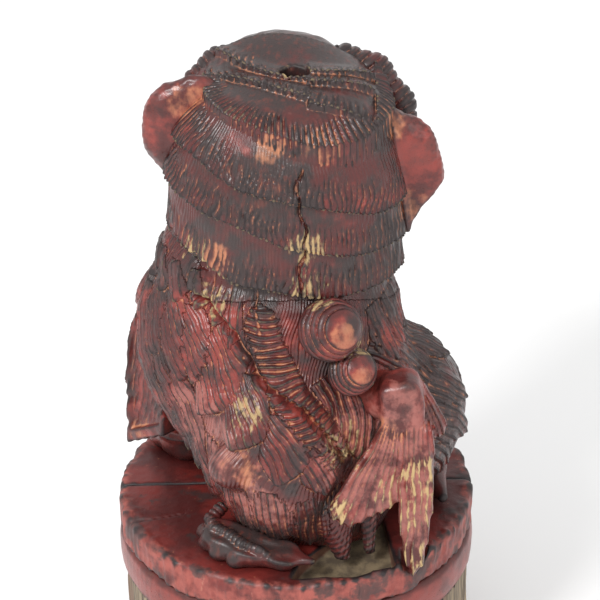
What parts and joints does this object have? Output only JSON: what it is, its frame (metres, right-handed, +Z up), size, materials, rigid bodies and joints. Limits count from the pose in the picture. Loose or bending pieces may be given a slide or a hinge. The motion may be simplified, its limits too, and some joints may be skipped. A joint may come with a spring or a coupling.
{
  "type": "guardian lion statue",
  "caption": "Carved wooden guardian lion (foo dog) seated on a round plinth, red lacquered, with a drilled socket in the crown.",
  "frame": {"origin": "centre of the plinth's underside, on the surface it stands on", "axes": "+Z up, the lion's face looks towards -Y, +X is the lion's left"},
  "size_m": [0.176, 0.176, 0.328],
  "materials": {
    "lacquer": "aged red lacquer over carved wood, satin, dark grime in the cuts",
    "grimed_lacquer": "red lacquer under soot and handling grime, satin",
    "worn_lacquer": "red lacquer rubbed through to orange wood on the high spots",
    "board_lacquer": "dark red lacquer, satin, scratched, worn to ochre on the rim",
    "band_lacquer": "smooth red lacquer, satin",
    "drum_wood": "grey-brown weathered wood with vertical grain, matt",
    "dowel_wood": "bare wood, matt",
    "eye_lacquer": "black lacquer, gloss"
  },
  "bodies": {
    "root": {"plinth_foot_board": "board_lacquer", "plinth_drum": "drum_wood", "plinth_band_board": "band_lacquer", "plinth_top_front": "board_lacquer", "plinth_top_rear": "board_lacquer", "plinth_drum_dowel": "dowel_wood", "core_block": "lacquer", "left_haunch": "lacquer", "right_haunch": "lacquer", "left_shoulder": "lacquer", "right_shoulder": "lacquer", "head_block": "grimed_lacquer", "left_foreleg": "lacquer", "right_foreleg": "lacquer", "left_hind_paw": "grimed_lacquer", "right_hind_paw": "grimed_lacquer", "left_side_drape": "lacquer", "tail": "lacquer", "upper_back_curl": "worn_lacquer", "lower_back_curl": "worn_lacquer", "face_block": "lacquer", "left_eye": "eye_lacquer", "right_eye": "eye_lacquer", "lower_jaw": "lacquer", "tongue": "lacquer", "left_brow_curl": "grimed_lacquer", "right_brow_curl": "grimed_lacquer", "left_ear": "worn_lacquer", "right_ear": "worn_lacquer", "neck_dowel": "dowel_wood", "face_dowel": "dowel_wood", "left_haunch_dowel": "dowel_wood", "right_haunch_dowel": "dowel_wood", "left_shoulder_dowel": "dowel_wood", "right_shoulder_dowel": "dowel_wood", "tail_dowel": "dowel_wood", "left_ear_dowel": "dowel_wood", "right_ear_dowel": "dowel_wood", "figure_dowel_rear": "dowel_wood", "figure_dowel_front": "dowel_wood"}
  },
  "joints": []
}
